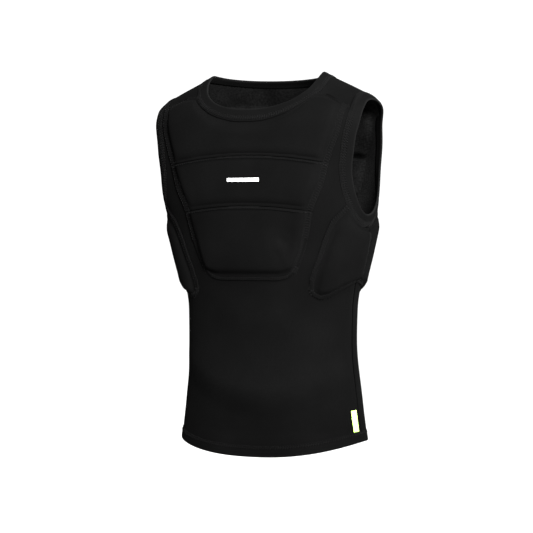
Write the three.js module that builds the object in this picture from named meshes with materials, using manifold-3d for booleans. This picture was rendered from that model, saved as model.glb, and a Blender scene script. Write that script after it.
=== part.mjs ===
// Impact vest: a sleeveless neoprene pullover with foam pads on chest, back and sides.
// Millimetres, +Z up, +X the wearer's left, the front faces -Y.
// The origin lies at shoulder height, midway between the two neck points.
import * as THREE from 'three';
import Module from 'manifold-3d';

// Driving sizes of the body
const BODY_LENGTH = 647;
const SHOULDER_WIDTH = 400;
const CHEST_DEPTH = 220;
const HEM_RISE = 22;
const PANEL_THICKNESS = 3;

// Driving sizes of the openings
const NECK_WIDTH = 204;
const NECK_FRONT_DEPTH = 80;
const NECK_BACK_DEPTH = 74;
const NECK_FRONT_POWER = 2.7;
const NECK_BACK_POWER = 2;
const ARMHOLE_DROP = 48;
const ARMHOLE_HEIGHT = 192;
const ARMHOLE_WIDTH = 132;
const ARMHOLE_SET_BACK = 5;
const ARMHOLE_UPPER_POWER = 2.6;
const ARMHOLE_LOWER_POWER = 2.1;

// Driving sizes of the bands
const NECK_BAND_WIDTH = 20;
const ARMHOLE_BAND_WIDTH = 22;
const HEM_BAND_WIDTH = 16.5;
const BAND_PROUD = 0.4;

// Driving sizes of the pads
const CHEST_PAD_THICKNESS = 11;
const BACK_PAD_THICKNESS = 12;
const SIDE_PAD_THICKNESS = 12;
const PAD_RIM = 1;
const PAD_ROUNDING = 15;
const PAD_CROWN = 2;
const PAD_SINK = 1;
const PLUG_REACH = 16;
const PLUG_PEAK = 0.3;
const CUTTER_DEPTH = 3;
const SIDE_SEAM_DIP = 1.2;

// Driving sizes of the trim
const LABEL_WIDTH = 16.5;
const LABEL_HEIGHT = 36;
const LABEL_ABOVE_HEM = 30;
const LABEL_TO_SIDE_SEAM = 18;
const LABEL_THICKNESS = 0.8;
const PRINT_WIDTH = 58;
const PRINT_HEIGHT = 5.5;
const PRINT_THICKNESS = 0.6;

// Clearances between neighbours
const SEAM_GAP = 0.3;
const BAND_GAP = 0.5;
const LAY_GAP = 0.3;
const PAD_GAP = 1;

// Grid steps: columns across a panel, rows up it, and shares across and up a pad
const QUARTER_COLUMNS = 10;
const PANEL_ROWS = 21;
const ROW_BUNCHING = 1.5;
const ARMHOLE_STEPS = 28;
const COLUMN_POWER = 1.3;
const OFFSET_STEPS = 5;
const PAD_COLUMNS = [0, 0.16, 0.32, 0.47, 0.6, 0.72, 0.83, 0.92, 0.97, 1];
const PAD_ROWS = [0, 0.07, 0.2, 0.42, 0.66, 0.86, 0.95, 1];
const SIDE_PAD_COLUMNS = [0, 0.06, 0.17, 0.33, 0.5, 0.68, 0.85, 1];
const HALF = 0.5;
const NORMAL_STEP = 0.5;
const HALVINGS = 30;

const BLACK_JERSEY = { color: 0x1c1c1e, roughness: 0.88, metalness: 0 };
const BLACK_BAND = { color: 0x19191b, roughness: 0.85, metalness: 0 };
const LIME_WOVEN = { color: 0xbeeb6e, roughness: 0.6, metalness: 0 };
const PALE_PRINT = { color: 0xf0f0f0, roughness: 0.5, metalness: 0 };

// The worn form, section by section from the shoulders down. Heights are shares of
// BODY_LENGTH, half widths of half SHOULDER_WIDTH, and the depths of CHEST_DEPTH.
const FORM = {
  columns: ['height', 'halfWidth', 'middle', 'front', 'back', 'frontPower', 'backPower'],
  rows: [
    [0.006, 0.49, 0, 0.09, 0.205, 2.0, 2.0],
    [-0.009, 0.57, 0, 0.16, 0.355, 2.0, 2.0],
    [-0.025, 0.68, 0, 0.2, 0.4, 2.0, 2.0],
    [-0.046, 0.82, 0, 0.245, 0.427, 2.1, 2.1],
    [-0.071, 0.95, 0, 0.305, 0.46, 2.4, 2.7],
    [-0.096, 0.995, -0.032, 0.33, 0.51, 2.8, 3.1],
    [-0.139, 1.0, -0.064, 0.34, 0.55, 3.0, 3.3],
    [-0.201, 0.985, -0.06, 0.36, 0.577, 3.0, 3.4],
    [-0.274, 0.95, -0.037, 0.39, 0.577, 3.0, 3.3],
    [-0.325, 0.93, -0.009, 0.42, 0.564, 2.9, 3.1],
    [-0.379, 0.9, 0.028, 0.45, 0.54, 2.7, 2.9],
    [-0.464, 0.84, 0.05, 0.45, 0.518, 2.5, 2.7],
    [-0.556, 0.77, 0.06, 0.427, 0.51, 2.4, 2.5],
    [-0.618, 0.745, 0.064, 0.414, 0.505, 2.3, 2.4],
    [-0.711, 0.74, 0.069, 0.41, 0.51, 2.3, 2.3],
    [-0.866, 0.785, 0.083, 0.436, 0.536, 2.3, 2.3],
    [-1.005, 0.84, 0.092, 0.464, 0.555, 2.3, 2.3],
    [-1.08, 0.86, 0.092, 0.473, 0.564, 2.3, 2.3],
  ],
};

// The side edge of the chest and back pads: shares of BODY_LENGTH and half SHOULDER_WIDTH
const PAD_EDGE = {
  columns: ['height', 'halfWidth'],
  rows: [
    [-0.092, 0.85],
    [-0.114, 0.832],
    [-0.153, 0.81],
    [-0.204, 0.76],
    [-0.243, 0.72],
    [-0.297, 0.675],
    [-0.349, 0.6],
    [-0.379, 0.57],
    [-0.425, 0.535],
    [-0.47, 0.485],
    [-0.513, 0.415],
  ],
};

// The pads' top edge along the shoulder: shares of half SHOULDER_WIDTH and BODY_LENGTH
const SHOULDER_EDGE = {
  columns: ['across', 'height'],
  rows: [
    [0.5, -0.062],
    [0.58, -0.064],
    [0.65, -0.066],
    [0.72, -0.076],
    [0.815, -0.09],
    [0.86, -0.095],
  ],
};

// The lower pad's bottom edge: shares of its half width and of BODY_LENGTH
const PAD_BOTTOM = {
  columns: ['across', 'height'],
  rows: [
    [0, -0.541],
    [0.6, -0.541],
    [0.78, -0.536],
    [0.9, -0.528],
    [1, -0.513],
  ],
};

// Arched seams between the pads: the height at the middle and the drop at the pad's edge
const CHEST_SEAMS = [
  { middle: -0.2205, drop: 0.0216 },
  { middle: -0.3493, drop: 0.0145 },
];
const BACK_SEAMS = [
  { middle: -0.205, drop: 0.012 },
  { middle: -0.309, drop: 0.012 },
];
const PRINT_HEIGHT_SHARE = -0.283;

// The side pad's outline: quarter turns from the panel's middle and shares of BODY_LENGTH.
// The front edge runs up to the armhole band, the bottom edge back to the side seam.
const SIDE_PAD_FRONT = {
  columns: ['turn', 'height'],
  rows: [
    [0.428, -0.564],
    [0.42, -0.54],
    [0.437, -0.505],
    [0.462, -0.475],
    [0.478, -0.44],
    [0.5, -0.41],
    [0.53, -0.384],
  ],
};
const SIDE_PAD_BOTTOM = {
  columns: ['turn', 'height'],
  rows: [
    [0.428, -0.564],
    [0.46, -0.58],
    [0.53, -0.59],
    [0.62, -0.585],
    [0.72, -0.57],
    [0.87, -0.556],
    [1, -0.546],
  ],
};
const SIDE_PAD_TOP_HEIGHT = -0.348;

const { clamp, lerp } = THREE.MathUtils;
const HALF_WIDTH = SHOULDER_WIDTH * HALF;

// A smooth curve through points that never overshoots them
function monotone(xs, ys) {
  const last = xs.length - 1;
  const step = (i) => xs[i + 1] - xs[i];
  const rise = (i) => (ys[i + 1] - ys[i]) / step(i);
  const slopes = xs.map((_, i) => {
    if (i === 0) return rise(0);
    if (i === last) return rise(last - 1);
    const before = rise(i - 1);
    const after = rise(i);
    if (before * after <= 0) return 0;
    const w1 = 2 * step(i) + step(i - 1);
    const w2 = step(i) + 2 * step(i - 1);
    return (w1 + w2) / (w1 / before + w2 / after);
  });
  return (x) => {
    const at = clamp(x, xs[0], xs[last]);
    let i = 0;
    while (i < last - 1 && xs[i + 1] < at) i += 1;
    const t = (at - xs[i]) / step(i);
    const [r, h] = [1 - t, step(i)];
    return (1 + 2 * t) * r * r * ys[i] + t * r * r * h * slopes[i]
      + t * t * (3 - 2 * t) * ys[i + 1] - t * t * r * h * slopes[i + 1];
  };
}

// One column of a table as a smooth curve over its first column, each times its size
function curveOf(table, column, inputSize, outputSize) {
  const k = table.columns.indexOf(column);
  const rows = table.rows.map((row) => [row[0] * inputSize, row[k] * outputSize]);
  rows.sort((a, b) => a[0] - b[0]);
  return monotone(rows.map((row) => row[0]), rows.map((row) => row[1]));
}

const formCurves = {
  halfWidth: curveOf(FORM, 'halfWidth', BODY_LENGTH, HALF_WIDTH),
  middle: curveOf(FORM, 'middle', BODY_LENGTH, CHEST_DEPTH),
  front: curveOf(FORM, 'front', BODY_LENGTH, CHEST_DEPTH),
  back: curveOf(FORM, 'back', BODY_LENGTH, CHEST_DEPTH),
  frontPower: curveOf(FORM, 'frontPower', BODY_LENGTH, 1),
  backPower: curveOf(FORM, 'backPower', BODY_LENGTH, 1),
};

// The half of the section that holds a depth y at a height z
function sectionAt(y, z) {
  const middle = formCurves.middle(z);
  const ahead = y < middle;
  return {
    middle,
    halfWidth: formCurves.halfWidth(z),
    depth: (ahead ? formCurves.front : formCurves.back)(z),
    power: (ahead ? formCurves.frontPower : formCurves.backPower)(z),
  };
}

// 1 on the form, less inside it and more outside
function fullness(x, y, z) {
  const s = sectionAt(y, z);
  return Math.abs(x / s.halfWidth) ** s.power + Math.abs((y - s.middle) / s.depth) ** s.power;
}

// A point of the form, q quarter turns from the front's middle towards +X
function formPoint(q, z) {
  const angle = q * Math.PI * HALF;
  const [s, c] = [Math.sin(angle), Math.cos(angle)];
  const middle = formCurves.middle(z);
  const section = sectionAt(middle - c, z);
  const power = 2 / section.power;
  return new THREE.Vector3(
    section.halfWidth * Math.sign(s) * Math.abs(s) ** power,
    middle - section.depth * Math.sign(c) * Math.abs(c) ** power,
    z,
  );
}

// The quarter turns of a point on the form, 0 at the front's middle, 2 at the back's
function turnOf(p) {
  const s = sectionAt(p.y, p.z);
  const across = Math.abs(p.x / s.halfWidth) ** (s.power * HALF);
  const along = Math.abs((p.y - s.middle) / s.depth) ** (s.power * HALF);
  return Math.atan2(across, p.y < s.middle ? along : -along) / (Math.PI * HALF);
}

// The nearest point of the form at the same height, seen from the section's middle
function ontoForm(p) {
  const s = sectionAt(p.y, p.z);
  const grow = fullness(p.x, p.y, p.z) ** (-1 / s.power);
  return new THREE.Vector3(p.x * grow, s.middle + (p.y - s.middle) * grow, p.z);
}

// The form's outward direction at a point
function outward(p) {
  const s = sectionAt(p.y, p.z);
  const [u, v] = [p.x / s.halfWidth, (p.y - s.middle) / s.depth];
  const climb = fullness(p.x, p.y, p.z + NORMAL_STEP) - fullness(p.x, p.y, p.z - NORMAL_STEP);
  return new THREE.Vector3(
    s.power * Math.sign(u) * Math.abs(u) ** (s.power - 1) / s.halfWidth,
    s.power * Math.sign(v) * Math.abs(v) ** (s.power - 1) / s.depth,
    climb / (2 * NORMAL_STEP),
  ).normalize();
}

// The point of the form at a distance x from the middle, on the front or the back
function acrossPoint(x, z, facing) {
  const s = sectionAt(formCurves.middle(z) + facing, z);
  const inside = 1 - Math.min(1, Math.abs(x / s.halfWidth)) ** s.power;
  return new THREE.Vector3(x, s.middle + facing * s.depth * inside ** (1 / s.power), z);
}

// The point of the form's +X side at a depth y
function sidePoint(y, z) {
  const s = sectionAt(y, z);
  const inside = 1 - Math.min(1, Math.abs((y - s.middle) / s.depth)) ** s.power;
  return new THREE.Vector3(s.halfWidth * inside ** (1 / s.power), y, z);
}

// Grid lines and loops that panels and bands share

// Turns at even steps once round the body, from the front's middle towards +X
const roundTurns = Array.from({ length: 4 * QUARTER_COLUMNS }, (_, i) => {
  const angle = (i % QUARTER_COLUMNS) / QUARTER_COLUMNS * Math.PI * HALF;
  const turn = Math.atan2(Math.sin(angle) ** COLUMN_POWER, Math.cos(angle) ** COLUMN_POWER);
  return Math.floor(i / QUARTER_COLUMNS) + turn / (Math.PI * HALF);
});

// The point where the form meets the upright oval of the neck opening, at an angle
// counted from the front's middle towards +X
function neckPoint(angle) {
  const [s, c] = [Math.sin(angle), Math.cos(angle)];
  const [depth, power] = c > 0
    ? [NECK_FRONT_DEPTH, 2 / NECK_FRONT_POWER]
    : [NECK_BACK_DEPTH, 2 / NECK_BACK_POWER];
  const x = NECK_WIDTH * HALF * Math.sign(s) * Math.abs(s) ** power;
  const y = -depth * Math.sign(c) * Math.abs(c) ** power;
  let [low, high] = [-BODY_LENGTH * HALF, FORM.rows[0][0] * BODY_LENGTH];
  for (let i = 0; i < HALVINGS; i += 1) {
    const z = (low + high) * HALF;
    if (fullness(x, y, z) > 1) high = z;
    else low = z;
  }
  return new THREE.Vector3(x, y, (low + high) * HALF);
}

function hemHeight(q) {
  return -BODY_LENGTH + HEM_RISE * (1 - Math.cos(Math.PI * q)) * HALF;
}

const neckLoop = roundTurns.map((_, i) => neckPoint(2 * Math.PI * i / roundTurns.length));
const hemLoop = roundTurns.map((q) => formPoint(q, hemHeight(q)));

// The armhole of the +X side, from its lowest point up the front and down the back
const armholeLoop = Array.from({ length: ARMHOLE_STEPS }, (_, i) => {
  const angle = 2 * Math.PI * i / ARMHOLE_STEPS;
  const [s, c] = [Math.sin(angle), -Math.cos(angle)];
  const power = 2 / (c > 0 ? ARMHOLE_UPPER_POWER : ARMHOLE_LOWER_POWER);
  const y = ARMHOLE_SET_BACK - ARMHOLE_WIDTH * HALF * Math.sign(s) * Math.abs(s) ** power;
  const rise = ARMHOLE_HEIGHT * HALF * (1 + Math.sign(c) * Math.abs(c) ** power);
  return sidePoint(y, -ARMHOLE_DROP - ARMHOLE_HEIGHT + rise);
});

// A closed loop on the form, moved sideways over the form by a distance
function moveLoop(loop, distance) {
  let points = loop;
  const count = loop.length;
  for (let step = 0; step < OFFSET_STEPS; step += 1) {
    const now = points;
    points = now.map((p, i) => {
      const along = now[(i + 1) % count].clone().sub(now[(i + count - 1) % count]);
      const away = along.cross(outward(p)).normalize();
      return ontoForm(p.clone().addScaledVector(away, distance / OFFSET_STEPS));
    });
  }
  return points;
}

// The sign that moves a loop the way asked, tested at one of its points
function towards(loop, index, direction) {
  const moved = moveLoop(loop, 1)[index].sub(loop[index]);
  return Math.sign(moved.dot(direction));
}
const up = new THREE.Vector3(0, 0, 1);
const ahead = new THREE.Vector3(0, -1, 0);
const neckSign = towards(neckLoop, 0, up.clone().negate());
const hemSign = towards(hemLoop, 0, up);
const armholeSign = towards(armholeLoop, ARMHOLE_STEPS / 4, ahead);

const neckEdge = (distance) => moveLoop(neckLoop, neckSign * distance);
const hemEdge = (distance) => moveLoop(hemLoop, hemSign * distance);
const armholeEdge = (distance) => moveLoop(armholeLoop, armholeSign * distance);

// Closed solids from a grid of points on the form

// outer and inner give the heights of the two faces over the form
function solidFromGrid(points, outer, inner, closed) {
  const [columns, rows] = [points.length, points[0].length];
  const positions = [];
  const layer = (height) => points.forEach((line, i) => line.forEach((p, j) => {
    const q = p.clone().addScaledVector(outward(p), height(i, j));
    positions.push(q.x, q.y, q.z);
  }));
  layer(outer);
  layer(inner);
  const at = (side, i, j) => (side * columns + (i % columns)) * rows + j;
  const index = [];
  const quad = (a, b, c, d, otherWay) => {
    if (otherWay) index.push(a, b, d, b, c, d);
    else index.push(a, b, c, a, c, d);
  };
  const spans = closed ? columns : columns - 1;
  for (let i = 0; i < spans; i += 1) {
    for (let j = 0; j < rows - 1; j += 1) {
      const [a, b, c, d] = [at(0, i, j), at(0, i + 1, j), at(0, i + 1, j + 1), at(0, i, j + 1)];
      const [next, here] = [points[(i + 1) % columns], points[i]];
      const short = next[j].distanceTo(here[j + 1]) < here[j].distanceTo(next[j + 1]);
      const [e, f, g, h] = [at(1, i, j), at(1, i + 1, j), at(1, i + 1, j + 1), at(1, i, j + 1)];
      quad(a, b, c, d, short);
      quad(h, g, f, e, !short);
    }
    quad(at(1, i, 0), at(1, i + 1, 0), at(0, i + 1, 0), at(0, i, 0));
    quad(at(0, i, rows - 1), at(0, i + 1, rows - 1), at(1, i + 1, rows - 1), at(1, i, rows - 1));
  }
  for (let j = 0; j < rows - 1 && !closed; j += 1) {
    const k = columns - 1;
    quad(at(0, 0, j), at(0, 0, j + 1), at(1, 0, j + 1), at(1, 0, j));
    quad(at(0, k, j), at(1, k, j), at(1, k, j + 1), at(0, k, j + 1));
  }
  return orient(positions, index);
}

// The same triangles with every face pointing out
function orient(positions, index) {
  let volume = 0;
  const corner = (k) => new THREE.Vector3().fromArray(positions, 3 * k);
  for (let i = 0; i < index.length; i += 3) {
    const [a, b, c] = [corner(index[i]), corner(index[i + 1]), corner(index[i + 2])];
    volume += a.dot(b.cross(c));
  }
  if (volume < 0) index.reverse();
  const geometry = new THREE.BufferGeometry();
  geometry.setAttribute('position', new THREE.Float32BufferAttribute(positions, 3));
  geometry.setIndex(index);
  geometry.computeVertexNormals();
  return geometry;
}

function mirrored(p) {
  return new THREE.Vector3(-p.x, p.y, p.z);
}

function mirrorGeometry(geometry) {
  const positions = Array.from(geometry.attributes.position.array);
  for (let i = 0; i < positions.length; i += 3) positions[i] *= -1;
  return orient(positions, Array.from(geometry.index.array));
}

// A grid stretched between four edges, whose points are vectors
function stretch(bottom, top, left, right, us, vs) {
  const [m, n] = [us.length - 1, vs.length - 1];
  const mix = (a, b, share) => a.clone().lerp(b, share);
  return us.map((u, i) => vs.map((v, j) => {
    const ends = mix(mix(bottom[0], bottom[m], u), mix(top[0], top[m], u), v);
    return mix(bottom[i], top[i], v).add(mix(left[j], right[j], u)).sub(ends);
  }));
}

// Front and back panels

// Moves a seam point off the seam, so that front and back keep their gap
function offSeam(p, facing, gap) {
  return ontoForm(new THREE.Vector3(p.x, p.y + facing * gap * HALF, p.z));
}

// A panel's own turn of a point on +X, counted from the panel's middle
function panelTurn(p, facing) {
  return facing < 0 ? turnOf(p) : 2 - turnOf(p);
}

// A point from a panel's own turn and height
function panelPoint([turn, z], facing) {
  return facing < 0 ? formPoint(turn, z) : formPoint(2 - turn, z);
}

// The quarter of a loop round the body from a panel's middle to its +X side
function borderOf(loop, facing) {
  const n = QUARTER_COLUMNS;
  return facing < 0 ? loop.slice(0, n + 1) : loop.slice(n, 2 * n + 1).reverse();
}

// The armhole's points that border a panel, from the lowest to the highest
function armholeBorder(loop, facing) {
  const half = ARMHOLE_STEPS / 2;
  return Array.from({ length: half + 1 }, (_, i) => (
    loop[facing < 0 ? i : (ARMHOLE_STEPS - i) % ARMHOLE_STEPS]
  ));
}

const neckPanelEdge = neckEdge(NECK_BAND_WIDTH + BAND_GAP);
const hemPanelEdge = hemEdge(HEM_BAND_WIDTH + BAND_GAP);
const armholePanelEdge = armholeEdge(ARMHOLE_BAND_WIDTH + BAND_GAP);

// The +X half of a panel before the armhole is cut, from its middle line to the seams
function halfPanelGrid(facing) {
  const low = borderOf(hemPanelEdge, facing);
  const high = borderOf(neckPanelEdge, facing);
  const rows = Array.from({ length: PANEL_ROWS + 1 }, (_, j) => (
    1 - (1 - j / PANEL_ROWS) ** ROW_BUNCHING
  ));
  const turns = (line) => line.map((p, i) => (i === 0 ? 0 : panelTurn(p, facing)));
  const [lowTurns, highTurns] = [turns(low), turns(high)];
  return low.map((_, i) => rows.map((v) => {
    const turn = lerp(lowTurns[i], highTurns[i], v);
    const p = panelPoint([turn, lerp(low[i].z, high[i].z, v)], facing);
    return i === QUARTER_COLUMNS ? offSeam(p, facing, SEAM_GAP) : p;
  }));
}

function panelGrid(facing) {
  const half = halfPanelGrid(facing);
  return [...half.slice(1).reverse().map((line) => line.map(mirrored)), ...half];
}

// The space inside an armhole's edge, from within the body to well outside it. Its wall
// has the heights of the band's faces, so that band and panel meet along even walls.
function armholePlug(loop) {
  const middle = loop.reduce((sum, p) => sum.add(p), new THREE.Vector3()).divideScalar(loop.length);
  const positions = [];
  const heights = [PLUG_REACH, BAND_PROUD, -PANEL_THICKNESS, -PLUG_REACH];
  heights.forEach((height) => loop.forEach((p) => {
    positions.push(...p.clone().addScaledVector(outward(p), height));
  }));
  const peak = SHOULDER_WIDTH * PLUG_PEAK;
  positions.push(middle.x + peak, middle.y, middle.z, middle.x - peak, middle.y, middle.z);
  const n = loop.length;
  const [outerPeak, innerPeak, lastRing] = [heights.length * n, heights.length * n + 1, 3 * n];
  const index = [];
  for (let i = 0; i < n; i += 1) {
    const j = (i + 1) % n;
    index.push(outerPeak, i, j, innerPeak, lastRing + j, lastRing + i);
    for (let ring = 0; ring < lastRing; ring += n) {
      index.push(ring + i, ring + n + i, ring + n + j, ring + i, ring + n + j, ring + j);
    }
  }
  return orient(positions, index);
}

// A shell over a panel's grid, proud of its outer face or deeper than its inner face
function panelShell(facing, proud = 0, deep = 0) {
  return solidFromGrid(panelGrid(facing), () => proud, () => -PANEL_THICKNESS - deep, false);
}

// Bands at the neck, the armholes and the hem
function band(edge, width, shares, wider = 0, proud = 0, deep = 0) {
  const lines = shares.map((share) => edge(lerp(-wider, width + wider, share)));
  const points = lines[0].map((_, i) => lines.map((line) => line[i]));
  const outer = () => BAND_PROUD + proud;
  return solidFromGrid(points, outer, () => -PANEL_THICKNESS - deep, true);
}

// Cuts a geometry by others
const wasm = await Module();
wasm.setup();
const leftPlug = armholePlug(armholePanelEdge);
const armholePlugs = [toSolid(leftPlug), toSolid(mirrorGeometry(leftPlug))];

function toSolid(geometry) {
  const vertProperties = new Float32Array(geometry.attributes.position.array);
  const triVerts = new Uint32Array(geometry.index.array);
  return new wasm.Manifold(new wasm.Mesh({ numProp: 3, vertProperties, triVerts }));
}

function panel(facing) {
  return cutBy(panelShell(facing), armholePlugs);
}

function cutBy(geometry, cutters) {
  const solid = cutters.reduce((rest, cutter) => rest.subtract(cutter), toSolid(geometry));
  const { vertProperties, triVerts } = solid.getMesh();
  return orient(Array.from(vertProperties), Array.from(triVerts));
}

// Pads

// 0 at a pad's edge, rising on a quarter circle to 1 at the rounding's end
function edgeRise(distance) {
  const share = clamp(distance / PAD_ROUNDING, 0, 1);
  return Math.sqrt(1 - (1 - share) ** 2);
}

function padHeight(thickness, rises) {
  const rise = rises.reduce((product, value) => product * value, 1);
  return LAY_GAP + PAD_RIM + (thickness - PAD_RIM) * rise;
}

const padEdgeCurve = curveOf(PAD_EDGE, 'halfWidth', BODY_LENGTH, HALF_WIDTH);
const shoulderEdgeCurve = curveOf(SHOULDER_EDGE, 'height', HALF_WIDTH, BODY_LENGTH);
const padBottomCurve = curveOf(PAD_BOTTOM, 'height', 1, BODY_LENGTH);
const neckPadEdge = neckEdge(NECK_BAND_WIDTH + BAND_GAP + PAD_GAP);
const armholePadEdge = armholeEdge(ARMHOLE_BAND_WIDTH + BAND_GAP + PAD_GAP);
const TWO_STRIPS = [0, HALF, 1];

// What pads are cut by: the panels and bands under and beside them, grown by the clearance
const panelCutters = new Map([-1, 1].map((facing) => (
  [facing, toSolid(panelShell(facing, LAY_GAP, CUTTER_DEPTH))]
)));
const CUTTER_GROWTH = [BAND_GAP + PAD_GAP, LAY_GAP, CUTTER_DEPTH];
const leftBandCutter = band(armholeEdge, ARMHOLE_BAND_WIDTH, TWO_STRIPS, ...CUTTER_GROWTH);
const bandCutters = [
  toSolid(band(neckEdge, NECK_BAND_WIDTH, TWO_STRIPS, ...CUTTER_GROWTH)),
  toSolid(leftBandCutter),
  toSolid(mirrorGeometry(leftBandCutter)),
];

// A pad whose underside takes the shape of the panel that it lies on
function layPad(points, height, facing) {
  const raw = solidFromGrid(points, height, () => -PAD_SINK, false);
  return cutBy(raw, [panelCutters.get(facing), ...bandCutters]);
}

// A polyline read at a position along one of its axes
function readLine(points, from, to, at) {
  for (let i = 1; i < points.length; i += 1) {
    const [a, b] = [points[i - 1], points[i]];
    const [low, high] = [Math.min(a[from], b[from]), Math.max(a[from], b[from])];
    if (at >= low && at <= high && high > low) {
      return lerp(a[to], b[to], (at - a[from]) / (b[from] - a[from]));
    }
  }
  return Infinity;
}

// The pad's half width at a height, kept clear of the armhole band
function padHalfWidth(z, facing) {
  const limit = readLine(armholeBorder(armholePadEdge, facing), 'z', 'x', z);
  return Math.min(padEdgeCurve(z), limit);
}

// The upper pad's top edge: under the neck band, then along the shoulder
function padTop(x, facing) {
  const border = borderOf(neckPadEdge, facing);
  const limit = readLine(border, 'x', 'z', Math.max(Math.abs(x), border[0].x));
  return Math.min(shoulderEdgeCurve(Math.abs(x)), limit);
}

function seamHeight(seam, share) {
  return (seam.middle - seam.drop * share * share) * BODY_LENGTH;
}

// Three pads one above the other, as edges that give a height for a share across
function padEdges(seams, facing) {
  const shoulderEnd = PAD_EDGE.rows[0][1] * HALF_WIDTH;
  const above = seams.map((seam) => (u) => seamHeight(seam, u) + PAD_GAP * HALF);
  const below = seams.map((seam) => (u) => seamHeight(seam, u) - PAD_GAP * HALF);
  return [
    { low: above[0], high: (u) => padTop(u * shoulderEnd, facing) },
    { low: above[1], high: below[0] },
    { low: (u) => padBottomCurve(Math.abs(u)), high: below[1] },
  ];
}

// A pad between two edges, with its form and the height of its face
function torsoPad({ low, high }, facing, thickness) {
  const us = [...PAD_COLUMNS.slice(1).reverse().map((u) => -u), ...PAD_COLUMNS];
  const points = us.map((u) => PAD_ROWS.map((v) => {
    const half = padHalfWidth(lerp(low(1), high(1), v), facing);
    return acrossPoint(u * half, lerp(low(u), high(u), v), facing);
  }));
  const middle = (us.length - 1) / 2;
  const rows = PAD_ROWS.length - 1;
  const height = (i, j) => {
    const edge = points[i < middle ? 0 : us.length - 1][j];
    const p = points[i][j];
    const toSide = Math.abs(edge.x) - Math.abs(p.x);
    const toEnd = Math.min(p.distanceTo(points[i][0]), p.distanceTo(points[i][rows]));
    const crown = PAD_CROWN * (1 - us[i] ** 2) * Math.sin(Math.PI * PAD_ROWS[j]);
    return padHeight(thickness, [edgeRise(toSide), edgeRise(toEnd)]) + crown;
  };
  return layPad(points, height, facing);
}

// A polyline of points on the form, read at a share of its steps
function alongLine(line, share) {
  const at = share * (line.length - 1);
  const i = Math.min(Math.floor(at), line.length - 2);
  return ontoForm(line[i].clone().lerp(line[i + 1], at - i));
}

// A side pad's half, from its outer edge to the side seam
function sidePad(facing, mirror) {
  const border = armholeBorder(armholePadEdge, facing);
  const topEnd = SIDE_PAD_TOP_HEIGHT * BODY_LENGTH;
  const upper = border.slice(0, border.findIndex((p) => p.z > topEnd) + 1);
  const fromTable = ({ rows }) => rows.map(([turn, z]) => panelPoint([turn, z * BODY_LENGTH], facing));
  const outerEdge = [...fromTable(SIDE_PAD_FRONT), upper.at(-1)];
  const bottomEdge = fromTable(SIDE_PAD_BOTTOM);
  const [us, vs] = [SIDE_PAD_COLUMNS, PAD_ROWS];
  const [hemEnd, neckEnd] = [hemPanelEdge, neckPanelEdge].map((loop) => borderOf(loop, facing).at(-1));
  const right = vs.map((v) => {
    const z = lerp(bottomEdge.at(-1).z, upper[0].z, v);
    const share = (z - hemEnd.z) / (neckEnd.z - hemEnd.z);
    const turn = lerp(turnOf(hemEnd), turnOf(neckEnd), share);
    return offSeam(formPoint(turn, z), facing, 2 * SEAM_GAP);
  });
  const top = [...us.slice(0, -1).map((u) => alongLine(upper, 1 - u)), right.at(-1)];
  const bottom = [...us.slice(0, -1).map((u) => alongLine(bottomEdge, u)), right[0]];
  const left = vs.map((v) => alongLine(outerEdge, v));
  const points = stretch(bottom, top, left, right, us, vs).map((line) => line.map(ontoForm));
  const [lastColumn, lastRow] = [us.length - 1, vs.length - 1];
  const height = (i, j) => {
    const p = points[i][j];
    const toEdge = p.distanceTo(points[0][j]);
    const toEnd = Math.min(p.distanceTo(points[i][0]), p.distanceTo(points[i][lastRow]));
    const dip = i === lastColumn ? SIDE_SEAM_DIP : 0;
    const face = padHeight(SIDE_PAD_THICKNESS, [edgeRise(toEdge), edgeRise(toEnd)]);
    return Math.max(face - dip, LAY_GAP + PAD_RIM);
  };
  const placed = mirror ? points.map((line) => line.map(mirrored)) : points;
  return layPad(placed, height, facing);
}

// Trim: the woven hem label and the plain bar on the chest
function trim(rowsOfPoints, lift, thickness) {
  return solidFromGrid(rowsOfPoints, () => lift + thickness, () => lift, false);
}

function hemLabel() {
  const low = hemHeight(1) + LABEL_ABOVE_HEM - HEM_RISE * HALF;
  const middleOf = (z) => sidePoint(formCurves.middle(z) - LABEL_TO_SIDE_SEAM, z);
  const points = [-HALF, 0, HALF].map((across) => [0, HALF, 1].map((share) => {
    const z = low + share * LABEL_HEIGHT;
    const centre = middleOf(z);
    const along = outward(centre).cross(up).normalize();
    return ontoForm(centre.addScaledVector(along, across * LABEL_WIDTH));
  }));
  return trim(points, LAY_GAP, LABEL_THICKNESS);
}

function chestPrint() {
  const shares = [-1, -0.5, 0, 0.5, 1];
  const z = PRINT_HEIGHT_SHARE * BODY_LENGTH;
  const points = shares.map((share) => [-HALF, HALF].map((row) => (
    acrossPoint(share * PRINT_WIDTH * HALF, z + row * PRINT_HEIGHT, -1)
  )));
  const lift = LAY_GAP + CHEST_PAD_THICKNESS + PAD_CROWN + SEAM_GAP;
  return trim(points, lift, PRINT_THICKNESS);
}

// Assembly
const vest = new THREE.Group();
vest.name = 'impact_vest';

function add(name, geometry, look) {
  const mesh = new THREE.Mesh(geometry, new THREE.MeshStandardMaterial(look));
  mesh.name = name;
  vest.add(mesh);
}

add('front_panel', panel(-1), BLACK_JERSEY);
add('back_panel', panel(1), BLACK_JERSEY);

const leftArmholeBand = band(armholeEdge, ARMHOLE_BAND_WIDTH, TWO_STRIPS);
add('neck_band', band(neckEdge, NECK_BAND_WIDTH, TWO_STRIPS), BLACK_BAND);
add('armhole_band_left', leftArmholeBand, BLACK_BAND);
add('armhole_band_right', mirrorGeometry(leftArmholeBand), BLACK_BAND);
add('hem_band', band(hemEdge, HEM_BAND_WIDTH, [0, 1]), BLACK_BAND);

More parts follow.
